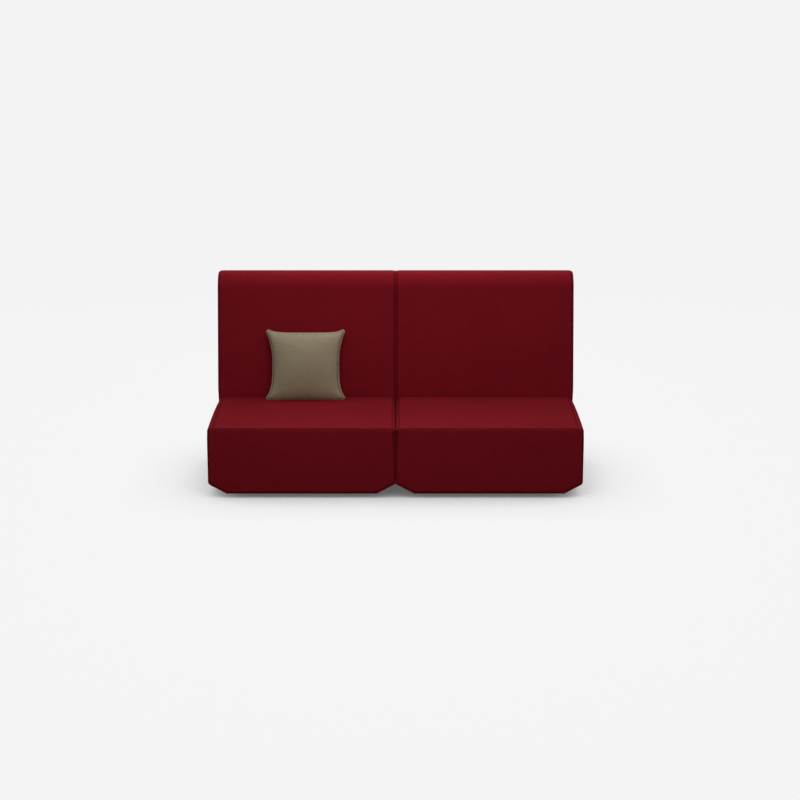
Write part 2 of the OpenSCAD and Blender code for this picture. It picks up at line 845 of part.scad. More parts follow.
module back_rear_padding(hand) {
    color(wadding_white)
        intersection() {
            back_form(foam_in, hand);
            leaning() translate([-frame_x, post_rear + slack, -seat_h]) cube([2 * frame_x, reach, seat_h + rail_u]);
        }
}

module back_cover(hand) {
    slot_w = tongue_w + 2;
    color(wine_felt)
        difference() {
            back_form(0, hand);
            back_form(cover_t, hand);
            leaning() both_sides(bracket_x) translate([-slot_w / 2, -1, socket_u + 2])
                cube([slot_w, 1 + back_gap + 2 * cover_t, tongue_step + tongue_pad + 3]);
            both_sides(skid_x) translate([0, back_glide_y, 0]) cylinder(r = screw_r + 0.5, h = floor_gap + 2 * cover_t);
        }
}

// Scatter cushion

// A pillow drawn in by inset round its seam and by wall on its faces: its sides and its top edge draw
// in between the corners, its foot is blunt and straight, and it leans with the back
module pillow(inset, wall) {
    n = 14;
    a = cushion_w / 2 - inset;
    b = cushion_t / 2 - wall;
    h = cushion_h / 2 - inset;
    share = [for (i = [0:n]) -cos(180 * i / n)];
    function puff(s, power) = pow(max(1 - s * s, 0), power);
    function place(s, t, face) = [
        s * (a - cushion_draw * (1 - t * t)) + cushion_x,
        cushion_back + face * b * puff(s, 0.4) * puff(t, t < 0 ? 0.25 : 0.4),
        cushion_u + cushion_h / 2 + t * (h - (t > 0 ? cushion_dip * (1 - s * s) : 0))
    ];
    front = [for (i = [0:n]) for (j = [0:n]) place(share[j], share[i], -1)];
    rear = [for (i = [1:n - 1]) for (j = [1:n - 1]) place(share[j], share[i], 1)];
    function at(i, j, face) =
        face < 0 || i == 0 || j == 0 || i == n || j == n ? i * (n + 1) + j
        : len(front) + (i - 1) * (n - 1) + j - 1;
    function cell(i, j, face) = [at(i, j, face), at(i + 1, j, face), at(i + 1, j + 1, face), at(i, j + 1, face)];
    // Each cell is split along the diagonal that points to the middle, so that no split lies across a corner
    faces = [
        for (i = [0:n - 1]) for (j = [0:n - 1])
            let (f = cell(i, j, -1), r = cell(i, j, 1), k = (i < n / 2) == (j < n / 2) ? 0 : 1)
                each [
                    [f[k], f[k + 1], f[k + 2]], [f[k], f[k + 2], f[(k + 3) % 4]],
                    [r[k + 2], r[k + 1], r[k]], [r[(k + 3) % 4], r[k + 2], r[k]]
                ]
    ];
    leaning() polyhedron(concat(front, rear), faces);
}

module zip_place() {
    leaning() translate([cushion_x, cushion_back, cushion_u]) children();
}

module cushion_cover() {
    color(greige_felt)
        difference() {
            pillow(0, 0);
            pillow(cushion_seam, cushion_cover_t);
            zip_place() translate([-zip_l / 2 - slack, -zip_w / 2 - slack, -cushion_seam])
                cube([zip_l + 2 * slack, zip_w + 2 * slack, 3 * cushion_seam]);
        }
}

module cushion_fill() {
    color(wadding_white)
        difference() {
            pillow(cushion_seam + slack, cushion_cover_t + slack);
            zip_place() translate([-zip_l / 2 - slack, -zip_w / 2 - slack, -cushion_seam])
                cube([zip_l + 2 * slack, zip_w + 2 * slack, 3 * cushion_seam]);
        }
}

module cushion_zip() {
    color(strap_black)
        zip_place() translate([-zip_l / 2, -zip_w / 2, 1]) cube([zip_l, zip_w, cushion_seam - 1]);
}

left() front_panel();  // left_front_panel
left() rear_panel();  // left_rear_panel
left() side_panels();  // left_side_panels
left() bevel_boards();  // left_bevel_boards
left() skids();  // left_skids
left() cross_rail();  // left_cross_rail
left() corner_blocks();  // left_corner_blocks
left() seat_webbing();  // left_seat_webbing
left() seat_foam();  // left_seat_foam
left() wrap_padding();  // left_wrap_padding
left() seat_cover();  // left_seat_cover
left() dust_cloth();  // left_dust_cloth
left() seat_glides();  // left_seat_glides
left() seat_glide_screws();  // left_seat_glide_screws
left() sockets();  // left_sockets
left() socket_screws();  // left_socket_screws
left() back_lower_panel();  // left_back_lower_panel
left() back_uprights();  // left_back_uprights
left() back_rails();  // left_back_rails
left() back_webbing();  // left_back_webbing
left() back_foam(1);  // left_back_foam
left() back_rear_padding(1);  // left_back_rear_padding
left() back_cover(1);  // left_back_cover
left() tongues();  // left_tongues
left() tongue_screws();  // left_tongue_screws
left() back_glides();  // left_back_glides
left() back_glide_screws();  // left_back_glide_screws
right() front_panel();  // right_front_panel
right() rear_panel();  // right_rear_panel
right() side_panels();  // right_side_panels
right() bevel_boards();  // right_bevel_boards
right() skids();  // right_skids
right() cross_rail();  // right_cross_rail
right() corner_blocks();  // right_corner_blocks
right() seat_webbing();  // right_seat_webbing
right() seat_foam();  // right_seat_foam
right() wrap_padding();  // right_wrap_padding
right() seat_cover();  // right_seat_cover
right() dust_cloth();  // right_dust_cloth
right() seat_glides();  // right_seat_glides
right() seat_glide_screws();  // right_seat_glide_screws
right() sockets();  // right_sockets
right() socket_screws();  // right_socket_screws
right() back_lower_panel();  // right_back_lower_panel
right() back_uprights();  // right_back_uprights
right() back_rails();  // right_back_rails
right() back_webbing();  // right_back_webbing
right() back_foam(-1);  // right_back_foam
right() back_rear_padding(-1);  // right_back_rear_padding
right() back_cover(-1);  // right_back_cover
right() tongues();  // right_tongues
right() tongue_screws();  // right_tongue_screws
right() back_glides();  // right_back_glides
right() back_glide_screws();  // right_back_glide_screws
link_plates();
link_bolts();
left() cushion_cover();
left() cushion_fill();
left() cushion_zip();
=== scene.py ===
import json
import math

import bmesh
import bpy
import numpy as np
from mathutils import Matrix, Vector


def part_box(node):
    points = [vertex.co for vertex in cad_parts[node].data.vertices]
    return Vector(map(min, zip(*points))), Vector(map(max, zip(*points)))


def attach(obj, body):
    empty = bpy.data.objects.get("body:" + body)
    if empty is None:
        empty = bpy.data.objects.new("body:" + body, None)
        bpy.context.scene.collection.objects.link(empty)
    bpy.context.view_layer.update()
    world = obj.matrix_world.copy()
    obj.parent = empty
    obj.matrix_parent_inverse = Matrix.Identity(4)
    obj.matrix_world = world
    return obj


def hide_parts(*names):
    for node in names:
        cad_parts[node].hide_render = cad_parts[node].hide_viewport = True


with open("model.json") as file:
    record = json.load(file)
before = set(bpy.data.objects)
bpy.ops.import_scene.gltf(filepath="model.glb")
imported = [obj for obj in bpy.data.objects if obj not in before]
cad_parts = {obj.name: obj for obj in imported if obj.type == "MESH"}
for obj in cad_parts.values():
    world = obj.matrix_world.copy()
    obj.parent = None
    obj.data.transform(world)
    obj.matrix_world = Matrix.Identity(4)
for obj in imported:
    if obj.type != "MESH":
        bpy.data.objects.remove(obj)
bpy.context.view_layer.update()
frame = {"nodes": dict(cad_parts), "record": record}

# Seat covers: one felt skin per module, sewn from a front panel, a top panel and side strips. The seams lie a
# little below the panels, the skin is hemmed under the base, and two slots at the rear let the back's tongues
# through. A module is laid out with x from its middle plane, its outer side at -x, and y from its front face.

seat_low, seat_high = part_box("left_seat_cover")
half_w = (seat_high.x - seat_low.x) / 2
module_x = -(seat_high.x + seat_low.x) / 2
front_y, floor_gap = seat_low.y, seat_low.z
seat_h, seat_depth = 0.322, 0.651
lean = math.radians(9.6)
seat_crown, cross_crown, front_roll = 0.008, 0.003, 0.0034
side_r_front, side_r_rear, least_r = 0.008, 0.030, 0.0005
front_r, crease_r, rear_r = 0.005, 0.0015, 0.004
bevel_w, bevel_h = 0.090, 0.046
bevel_low_r, bevel_high_r = 0.025, 0.021
bevel_a = math.atan2(bevel_h, bevel_w)
hem_w, hem_y = 0.072, 0.060
hem_x, flat_end = half_w - bevel_w - hem_w, 0.3285
felt_t, touch_gap = 0.0016, 0.00001
bracket_x, socket_u = 0.200, (0.092 - seat_h) / math.cos(lean)
seat_slot_half, seat_slot_rise = 0.022, 0.089
outer_seam, inner_seam = 0.025, 0.014
seam_rows = np.array([-4.2, -2.4, -1.1, 0.0, 1.1, 2.4, 4.2]) / 1000
top_puff, least_puff, face_puff = 0.0008, 0.0004, 0.0020
outer_puff, inner_puff, bevel_puff = 0.0025, 0.0010, 0.0022
face_rim = 0.0058
front_rows = (-face_rim, -0.0042, -0.0028, -0.0018, -0.0009, 0.0,
              0.0009, 0.0018, 0.0028, 0.0042, 0.0058, 0.007853)
mesh_step, column_step = 0.0092, 0.0095


def even(places, step):
    """The places with evenly spaced ones between them, no further apart than step."""
    out = [places[0]]
    for a, b in zip(places[:-1], places[1:]):
        n = max(1, math.ceil(abs(b - a) / step - 1e-6))
        out += [a + (b - a) * (k + 1) / n for k in range(n)]
    return np.array(out)


columns = even([0, bracket_x - seat_slot_half, bracket_x + seat_slot_half, hem_x, flat_end], column_step)


def arc(cx, cz, r, a0, a1, n):
    """Points from the angle a0 to a1, both measured from straight down, round a lower corner."""
    a = np.linspace(a0, a1, n + 1)
    return np.stack([cx + r * np.sin(a), cz - r * np.cos(a)], 1)


def foot_outline(q):
    """Half of the underside from the middle to halfway round the knee, and the side up to the knee's end."""
    low_x = half_w - bevel_w - bevel_low_r * math.tan(bevel_a / 2)
    knee_x = half_w - bevel_high_r
    knee_z = floor_gap + bevel_h + bevel_high_r * math.tan(math.pi / 4 - bevel_a / 2)
    middle_a = (bevel_a + math.pi / 2) / 2
    flat = np.stack([columns * low_x / columns[-1], np.full(len(columns), floor_gap + q)], 1)
    foot = arc(low_x, floor_gap + bevel_low_r, bevel_low_r - q, 0, bevel_a, 3)
    knee = arc(knee_x, knee_z, bevel_high_r - q, bevel_a, middle_a, 4)
    bevel = np.linspace(foot[-1], knee[0], 11)
    side = arc(knee_x, knee_z, bevel_high_r - q, middle_a, math.pi / 2, 4)
    return np.concatenate([flat, foot[1:], bevel[1:], knee[1:]]), side


def groove(s, deep=0.0026, wide=0.0019):
    """How deep the felt is drawn in at the distance s from a seam."""
    return deep * np.exp(-((s / wide) ** 2))


def swell(s, high, reach=0.008):
    """How far a panel stands off at the distance s from its seam."""
    return high * (1 - np.exp(-np.maximum(s, 0) / reach))


def side_r(t, top_in):
    """Radius of the seat's side edges at the share t of its depth, drawn in by top_in."""
    return np.maximum(side_r_front + (side_r_rear - side_r_front) * t - top_in, least_r)


def seat_top(x, t, q, top_in, seam, puff):
    """Height of the seat's top at x and the share t of its depth, with side edge, seam, swell and roll."""
    w, r = half_w - q, side_r(t, top_in)
    edge = w - r
    crown = 4 * t * (1 - t) * (seat_crown + cross_crown * (1 - (np.minimum(x, edge) / edge) ** 2))
    over = np.clip(x - edge, 0, r)
    to_seam = (half_w - seam) - x
    strip = swell(-to_seam, 0.4 * puff, 0.004) * np.clip((w - x) / 0.006, 0, 1)
    stands_off = np.where(to_seam > 0, swell(to_seam, puff), strip)
    roll = swell(w - x, front_roll, 0.012) * (1 - t) ** 2
    sunk = groove(to_seam, 0.0022) * min(1.0, puff / least_puff)
    return seat_h - top_in + crown - r + np.sqrt(r * r - over * over) + stands_off + roll - sunk


def seat_ring(y, q, top_in, puff):
    """The four sides of one section of the seat: underside, top, outer side and inner side."""
    t = y / seat_depth
    under, knee = foot_outline(q)
    w, r = half_w - q, side_r(t, top_in)
    top_x45 = w - r + r * math.sin(math.pi / 4)
    shoulder_z = seat_h - top_in + 4 * t * (1 - t) * seat_crown - r
    a = np.linspace(math.pi / 4, 0, 5)
    halves = []
    for seam in (outer_seam, inner_seam):
        s = half_w - seam
        x = np.concatenate([columns, np.linspace(columns[-1], s + seam_rows[0], 8)[1:], s + seam_rows[1:],
                            np.linspace(s + seam_rows[-1], top_x45, 5)[1:]])
        top = np.stack([x, seat_top(x, t, q, top_in, seam, puff)], 1)
        shoulder = np.stack([w - r + r * np.cos(a), shoulder_z + r * np.sin(a)], 1)
        shoulder[0] = top[-1]
        straight = np.linspace(knee[-1], [w, shoulder_z], 23)
        halves.append((top, np.concatenate([knee, straight[1:-1], shoulder[::-1]])))
    flip = np.array([-1, 1])
    parts = [
        np.concatenate([(under * flip)[::-1], under[1:]]),
        np.concatenate([(halves[0][0] * flip)[::-1], halves[1][0][1:]]),
        halves[0][1] * flip,
        halves[1][1],
    ]
    return [np.stack([p[:, 0], y + (p[:, 1] - seat_h) * math.tan(lean) * t, p[:, 1]], 1) for p in parts]


def patch(ring):
    """A grid that fills a ring: rows run from its underside to its top."""
    under, top, left, right = ring
    u = np.linspace(0, 1, len(under))[None, :, None]
    v = np.linspace(0, 1, len(left))[:, None, None]
    corners = (1 - u) * (1 - v) * under[0] + u * (1 - v) * under[-1] + (1 - u) * v * top[0] + u * v * top[-1]
    return (1 - v) * under[None] + v * top[None] + (1 - u) * left[:, None] + u * right[:, None] - corners


def grid_faces(bm, points, outwards, skip=None):
    """Adds a grid of points as quads, one way round or the other. skip leaves out cells by their middle."""
    rows, cols = points.shape[:2]
    verts = [[bm.verts.new(p) for p in row] for row in points]
    for i in range(rows - 1):
        for j in range(cols - 1):
            cell = [verts[i][j], verts[i][j + 1], verts[i + 1][j + 1], verts[i + 1][j]]
            if skip is not None and skip(sum((np.array(v.co) for v in cell)) / 4):
                continue
            bm.faces.new(cell if outwards else cell[::-1])


def sheets_of(rings):
    """The grids over a box-like skin from its rings: underside, top, left, right, first end, last end."""
    around = [np.stack([ring[k] for ring in rings]) for k in range(4)]
    return around + [patch(rings[0]), patch(rings[-1])]


def front_ring(s):
    """The ring at the distance s round the front edge: on the front panel below 0, and at its seam for 0."""
    a = math.pi / 2 - max(s, 0) / front_r
    sunk = float(groove(s, 0.0044, 0.0022)) - (float(swell(-s, face_puff)) if s < 0 else 0)
    y = front_r - (front_r - sunk) * math.sin(a)
    inwards = front_r - (front_r - max(sunk, 0) * math.cos(a)) * math.cos(a) + max(-s, 0)
    plain = front_r - front_r * math.sin(a)
    fall = 0 if plain >= crease_r else crease_r - math.sqrt(crease_r**2 - (crease_r - plain) ** 2)
    sink = max(sunk, 0) * math.exp(-((s / 0.003) ** 2)) * 0.5 if s >= 0 else 0
    return seat_ring(y, inwards, fall + sink + max(-s, 0), least_puff if s > 0.006 else 0.0)


hem_rear = seat_depth - (seat_h - floor_gap) * math.tan(lean) - hem_y
under_share = 1 - (seat_h - floor_gap) * math.tan(lean) / seat_depth
ring_places = even([front_r, hem_y / under_share, hem_rear / under_share, seat_depth - rear_r], mesh_step)
seat_rings = [front_ring(s) for s in front_rows]
for y in ring_places[1:]:
    seat_rings.append(seat_ring(y, 0.0, 0.0, float(swell(y, top_puff)) * min(1, (seat_depth - y) / 0.04)))
for a in (0.5, 1.0, 1.5707):
    inwards, from_rear = rear_r * (1 - math.cos(a)), rear_r * (1 - math.sin(a)) / math.cos(lean)
    seat_rings.append(seat_ring(seat_depth - from_rear, inwards, inwards, 0.0))
seat_sheets = sheets_of(seat_rings)

# The front panel stands a little off inside its seam
face = seat_sheets[4]
from_side = half_w - front_r - face_rim - np.abs(face[..., 0])
from_top = face[-1:, :, 2] - face[..., 2]
from_foot = face[..., 2] - face[:1, :, 2]
nearest = np.minimum(np.minimum(from_side, from_top), from_foot)
face[1:-1, 1:-1, 1] = -swell(nearest + face_rim, face_puff)[1:-1, 1:-1]


def ramp(a, b, value):
    """0 at a, 1 at b and smooth between them."""
    t = np.clip((value - a) / (b - a), 0, 1)
    return t * t * (3 - 2 * t)


def seat_plump(p, n):
    """How far the side strips and bevels stand off: most on the outer side, least where a neighbour is."""
    x, y, z = p.T
    start = swell(y - 0.001, 1.0)
    outer = outer_puff * np.clip(-n[:, 0], 0, 1)
    outer *= ramp(seat_h - 0.006, seat_h - 0.045, z) * (0.45 + 0.55 * ramp(0.07, 0.25, z))
    inner = inner_puff * np.clip(n[:, 0], 0, 1) ** 4
    inner *= ramp(0.010, 0.030, y) * ramp(seat_h - 0.012, seat_h - 0.05, z)
    low = (bevel_puff + 0.0018 * ramp(0.062, 0.024, z)) * ramp(0.1, 0.35, np.abs(n[:, 0]))
    low *= np.clip(-n[:, 2], 0, 1) * (1 - ramp(0.03, 0.055, y) * ramp(0.05, 0.035, z))
    at_rear = ramp(seat_depth - 0.02, seat_depth - 0.10, y)
    return (start * (outer + inner) + low * (1 - np.exp(-y / 0.002))) * at_rear


def in_hem(p):
    return abs(p[0]) < hem_x and hem_y < p[1] < hem_rear


def in_tongue_slot(p):
    u = (p[2] - seat_h) / math.cos(lean)
    return abs(abs(p[0]) - bracket_x) < seat_slot_half and socket_u - 0.001 < u < socket_u + seat_slot_rise


def piece_of(name, bm, smooth=True):
    """An object from a bmesh. Its attribute "edge" is 1 on its sharpest edges and -1 in its deepest seams."""
    turn = []
    for v in bm.verts:
        bends = [e.calc_face_angle_signed(0.0) for e in v.link_edges]
        turn.append(max(-1.0, min(1.0, 1.6 * sum(bends) / max(len(bends), 1))))
    bm.verts.index_update()
    # A seam's deepest value spreads to the points beside it, which widens the painted shade the felt puts in
    # its seams
    near = [min([turn[e.other_vert(v).index] for e in v.link_edges], default=0.0) for v in bm.verts]
    turn = [min(own, 0.6 * other) if other < 0 else own for own, other in zip(turn, near)]
    for f in bm.faces:
        f.smooth = smooth
    mesh = bpy.data.meshes.new(name)
    bm.to_mesh(mesh)
    bm.free()
    mesh.attributes.new("edge", "FLOAT", "POINT").data.foreach_set("value", turn)
    piece = bpy.data.objects.new(name, mesh)
    bpy.context.scene.collection.objects.link(piece)
    return piece


def skin(name, sheets, facings, skips, side, plump):
    """A felt skin from its grids, plumped out up to its neighbour, mirrored on the right, its wall inside."""
    bm = bmesh.new()
    for points, outwards, skip in zip(sheets, facings, skips):
        grid_faces(bm, points, outwards, skip)
    bmesh.ops.remove_doubles(bm, verts=bm.verts, dist=2e-6)
    loose = [v for v in bm.verts if not v.link_faces]
    bmesh.ops.delete(bm, geom=loose, context="VERTS")
    bm.normal_update()
    places = np.array([v.co for v in bm.verts])
    normals = np.array([v.normal for v in bm.verts])
    places += normals * plump(places, normals)[:, None]
    places[:, 0] = np.minimum(places[:, 0], module_x - touch_gap)
    places = np.stack([side * (module_x - places[:, 0]), places[:, 1] + front_y, places[:, 2]], 1)
    for v, place in zip(bm.verts, places):
        v.co = place
    if side > 0:
        bmesh.ops.reverse_faces(bm, faces=bm.faces)
    piece = piece_of(name, bm)
    wall = piece.modifiers.new("wall", "SOLIDIFY")
    wall.thickness = felt_t
    wall.offset = -1
    return piece


class Wire:
    """An output of a material's node. Sums and products of wires add Math nodes to the same material."""

    def __init__(self, tree, socket):
        self.tree, self.socket = tree, socket

    def node(self, kind, settings=None, sockets=None, out=0):
        """Adds any node: its settings first, then the values or wires of its sockets."""
        made = self.tree.nodes.new(kind)
        for key, value in (settings or {}).items():
            if key == "stops":
                while len(made.color_ramp.elements) < len(value):
                    made.color_ramp.elements.new(0.5)
                for element, (place, colour) in zip(made.color_ramp.elements, value):
                    element.position, element.color = place, colour
            else:
                setattr(made, key, value)
        for key, value in (sockets or {}).items():
            if isinstance(value, Wire):
                self.tree.links.new(value.socket, made.inputs[key])
            else:
                made.inputs[key].default_value = value
        return Wire(self.tree, made.outputs[out])

    def math(self, operation, other=0.0):
        return self.node("ShaderNodeMath", {"operation": operation}, {0: self, 1: other})

    def __add__(self, other):
        return self.math("ADD", other)

    def __sub__(self, other):
        return self.math("SUBTRACT", other)

    def __rsub__(self, other):
        return self * -1.0 + other

    def __mul__(self, other):
        return self.math("MULTIPLY", other)

    __radd__, __rmul__ = __add__, __mul__

    def axis(self, name):
        return self.node("ShaderNodeSeparateXYZ", {}, {0: self}, out=name)

    def noise(self, scale, detail=2.0, rough=0.5, stretch=(1, 1, 1)):
        """Noise about 0.5, in patches of 1/scale metres, drawn out along the axes with a small stretch."""
        scales = [scale * k for k in stretch]
        where = self.node("ShaderNodeVectorMath", {"operation": "MULTIPLY"}, {0: self, 1: scales})
        settings = {"Vector": where, "Scale": 1.0, "Detail": detail, "Roughness": rough}
        return where.node("ShaderNodeTexNoise", {}, settings)

    def cells(self, scale, uneven=1.0, out=0):
        """Cells of about 1/scale metres: the distance from each one's middle, or with out 1 its own colour."""
        sockets = {"Vector": self, "Scale": scale, "Randomness": uneven}
        return self.node("ShaderNodeTexVoronoi", {"feature": "F1"}, sockets, out)

    def turned(self, *degrees):
        return self.node("ShaderNodeVectorRotate", {"rotation_type": "EULER_XYZ"},
                         {"Vector": self, "Rotation": [math.radians(d) for d in degrees]})

    def between(self, share, low, high):
        """The colour low where share is 0 and high where it is 1."""
        return self.node("ShaderNodeMix", {"data_type": "RGBA"}, {0: share, 6: low, 7: high}, out=2)


def start_material(name):
    """A new material: its shader, and a wire with the places on the piece in metres."""
    made = bpy.data.materials.new(name)
    made.use_nodes = True
    shader = made.node_tree.nodes["Principled BSDF"]
    places = made.node_tree.nodes.new("ShaderNodeTexCoord")
    return made, shader, Wire(made.node_tree, places.outputs["Object"])


def dress(shader, colour, rough, height, depth):
    """Gives a shader its colour, its roughness and a bump that is depth metres high."""
    links = colour.tree.links
    links.new(colour.socket, shader.inputs["Base Color"])
    links.new(rough.socket, shader.inputs["Roughness"])
    bump = height.node("ShaderNodeBump", {}, {"Strength": 0.55, "Distance": depth, "Height": height})
    links.new(bump.socket, shader.inputs["Normal"])


def felt(name, dark, light, sheen_tint, coarse=1.0):
    """Pressed wool felt: short fibres lying all ways and a soft nap, paler where its edges are worn, with
    painted shade in its seams.
    """
    made, shader, places = start_material(name)
    fibres = places.noise(1.0, 1.5, 0.5, [k * coarse for k in (2100, 330, 700)])
    for turn, stretch in (((20, 35, 70), (2300, 360, 640)), ((65, -25, 140), (1900, 300, 800))):
        layer = places.turned(*turn).noise(1.0, 1.5, 0.5, [k * coarse for k in stretch])
        fibres = fibres.math("MAXIMUM", layer)
    nap = places.noise(26, 3, 0.6)
    cloudy = places.noise(3.2, 2, 0.5)
    edge = places.node("ShaderNodeAttribute", {"attribute_name": "edge"}, out=2)
    # seam is how deep a point lies in a seam, where the felt's colour is darkened as painted shade
    seam = (edge * -1.0).math("MAXIMUM", 0.0)
    worn = edge.math("MAXIMUM", 0.0) * places.noise(90, 3, 0.6)
    share = (fibres - 0.5) * 1.6 + nap * 0.45 + cloudy * 0.35 + worn * 0.5 - seam * 0.8 - 0.03
    colour = places.between(share.math("MAXIMUM", 0.0).math("MINIMUM", 1.0), dark, light)
    # Painted shade: the deepest seams turn most of the way to a near-black copy of the felt's colour
    painted_seam_shade = [k * 0.3 for k in dark[:3]] + [1]
    colour = places.between((seam * 1.3).math("MINIMUM", 0.75), colour, painted_seam_shade)
    dress(shader, colour, 0.86 + fibres * 0.12 - worn * 0.08, fibres + nap * 0.6, 0.0005)
    shader.inputs["Specular IOR Level"].default_value = 0.05
    shader.inputs["Sheen Weight"].default_value = 0.05
    shader.inputs["Sheen Roughness"].default_value = 0.5
    shader.inputs["Sheen Tint"].default_value = sheen_tint
    return made


wine_felt = felt("wine_felt", (0.150, 0.0043, 0.0096, 1), (0.235, 0.0082, 0.0158, 1), (1.0, 0.08, 0.12, 1))

for side, hand in ((-1, "left"), (1, "right")):
    cover = skin(hand + "_seat_skin", seat_sheets, (False, True, True, False, True, False),
                 (in_hem, None, None, None, None, in_tongue_slot), side, seat_plump)
    cover.data.materials.append(wine_felt)
    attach(cover, "base")
    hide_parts(hand + "_seat_cover")


# Back covers: one felt skin per back, drawn over its foam and frame from the half-round top to the floor. A
# seam runs round each side panel, and two slots in front let the tongues out. The leaning frame gives a place
# by its distance out behind the seat's rear edge and its height up along the lean.

back_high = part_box("left_back_cover")[1]
back_t, back_gap, back_crown = 0.165, 0.0006, 0.004
back_r = back_t / 2
back_mid = back_gap + back_r
top_up = (back_high.z - back_r - seat_h + back_mid * math.sin(lean)) / math.cos(lean)
back_outer_r, back_inner_r, back_foot_r = 0.011, 0.0032, 0.003
back_seam, back_puff, back_strip_puff, back_side_puff = 0.0068, 0.0010, 0.0004, 0.0042
slot_low, slot_high, back_slot_half = socket_u + 0.002, socket_u + 0.072, 0.021
foot_line = np.concatenate([foot_outline(0.0)[0], foot_outline(0.0)[1][1:]])


def leaning(x, out, up):
    """The places in a module of points in the leaning frame."""
    return np.stack([x, seat_depth + out * math.cos(lean) + up * math.sin(lean),
                     seat_h + up * math.cos(lean) - out * math.sin(lean)], 1)


def leaned(y, z):
    """The distance out and the height up in the leaning frame of a place in a module."""
    y, z = y - seat_depth, z - seat_h
    return y * math.cos(lean) - z * math.sin(lean), y * math.sin(lean) + z * math.cos(lean)


def back_ring(x, face_in, puff, sunk):
    """The four sides of one section of the back at x: underside, half-round top, front and rear."""
    out0, out1 = back_gap + face_in, back_gap + back_t - face_in
    foot_z = float(np.interp(abs(x), foot_line[:, 0], foot_line[:, 1]))
    low0, low1 = ((foot_z - seat_h + out * math.sin(lean)) / math.cos(lean) for out in (out0, out1))
    r = back_foot_r

    def corner(out, up, a, b):
        """Points round a foot corner, from a to b eighths of a turn."""
        angle = np.linspace(a, b, 3) * math.pi / 4
        return list(zip(out + r * np.cos(angle), up + r * np.sin(angle)))

    steps = r + (out1 - out0 - 2 * r) * np.arange(29) / 28
    across = list(zip(out0 + steps, low0 + (low1 - low0) * steps / (out1 - out0)))
    under = corner(out0 + r, low0 + r, -3, -2)[:-1] + across + corner(out1 - r, low1 + r, -2, -1)[1:]
    above = even([slot_low, slot_high, top_up], mesh_step)[1:]
    up = np.concatenate([np.linspace(low0 + r, slot_low, 7), above])
    crown = back_crown * (1 - (x / half_w) ** 2) * np.sin(math.pi * np.clip(up / top_up, 0, 1)) ** 2
    front_out = out0 - crown - puff * np.clip((up - 0.004) / 0.02, 0, 1) + sunk * (up > slot_low)
    front = corner(out0 + r, low0 + r, 5, 4)[:-1] + list(zip(front_out, up))
    turn = np.linspace(math.pi, 0, len(under))
    top_r = back_r - face_in + puff - sunk
    top = list(zip(back_mid + top_r * np.cos(turn), top_up + top_r * np.sin(turn)))
    rear_up = low1 + r + (up - up[0]) * (top_up - low1 - r) / (top_up - up[0])
    rear = corner(out1 - r, low1 + r, -1, 0)[:-1] + [(out1 + puff - sunk, k) for k in rear_up]
    top[0], top[-1] = front[-1], rear[-1]
    return [leaning(np.full(len(part), x), *np.array(part).T) for part in (under, top, front, rear)]


def back_edge(r, sign):
    """Stations round one side edge of radius r, from its side panel to the seam and on to the flat."""
    quarter = r * math.pi / 2
    seam_at = r * math.asin(1 - back_seam / r) if back_seam < r else r - back_seam
    rows = {round(quarter * k / 8, 6) for k in range(9)} | {round(seam_at + k, 6) for k in seam_rows}
    out = []
    for s in sorted(rows)[::-1]:
        a = max(s, 0) / r
        x = half_w - r + (r * math.sin(a) if s > 0 else s)
        past = seam_at - s
        puff = swell(past, back_puff) if past > 0 else swell(-past, back_strip_puff, 0.004) * math.cos(a)
        out.append((sign * x, r - r * math.cos(a), float(puff), float(groove(past))))
    return out


stations = back_edge(back_outer_r, -1)
inner_stations = back_edge(back_inner_r, 1)[::-1]
slots = [sign * bracket_x + end * back_slot_half for sign, end in ((-1, -1), (-1, 1), (1, -1), (1, 1))]
middle = even([stations[-1][0], *slots[:2], 0, *slots[2:], half_w - back_inner_r - 0.0075], mesh_step)[1:]
stations += [(x, 0.0, back_puff, 0.0) for x in middle if x < inner_stations[0][0] - 0.002] + inner_stations
back_sheets = sheets_of([back_ring(*station) for station in stations])

# Each back's inner side panel stands off until the two backs all but touch
for sheet in back_sheets[:4]:
    sheet[-1, :, 0] += inner_puff
back_sheets[5][..., 0] += inner_puff


def back_plump(p, n):
    """How far the outer side panel stands off its seam."""
    x, y, z = p.T
    out, up = leaned(y, z)
    from_face = np.minimum(out - back_gap, back_gap + back_t - out)
    from_round = back_r - np.hypot(out - back_mid, np.maximum(up - top_up, 0))
    depth = np.where(up > top_up, from_round, from_face)
    return swell(depth, back_side_puff, 0.012) * np.clip(-n[:, 0], 0, 1) * ramp(-0.02, 0.05, up)


def in_back_slot(p):
    return abs(abs(p[0]) - bracket_x) < back_slot_half and slot_low < leaned(p[1], p[2])[1] < slot_high


for side, hand in ((-1, "left"), (1, "right")):
    cover = skin(hand + "_back_skin", back_sheets, (True, False, False, True, False, True),
                 (None, None, in_back_slot, None, None, None), side, back_plump)
    cover.data.materials.append(wine_felt)
    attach(cover, hand + "_back")
    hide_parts(hand + "_back_cover")


# Foam and padding: the foam blocks of seat and back and the polyester padding round the frames. Each has its
# CAD form, drawn in so that the covers' seams have room to pull in.

foam, shader, places = start_material("foam")
cells = places.cells(700.0)
cloudy = places.noise(5, 3, 0.6)
colour = places.between(cells * 1.4 + cloudy * 0.3 - 0.2, (0.62, 0.52, 0.28, 1), (0.86, 0.80, 0.58, 1))
dress(shader, colour, 0.92 - cells * 0.1, cells, 0.0006)

wadding, shader, places = start_material("wadding")
threads = places.noise(1, 3, 0.6, (900, 120, 400))
threads = threads.math("MAXIMUM", places.turned(30, 20, 80).noise(1, 3, 0.6, (900, 120, 400)))
colour = places.between(threads, (0.55, 0.55, 0.53, 1), (0.92, 0.92, 0.90, 1))
dress(shader, colour, 0.8 + threads * 0.15, threads, 0.0012)

room = 0.003


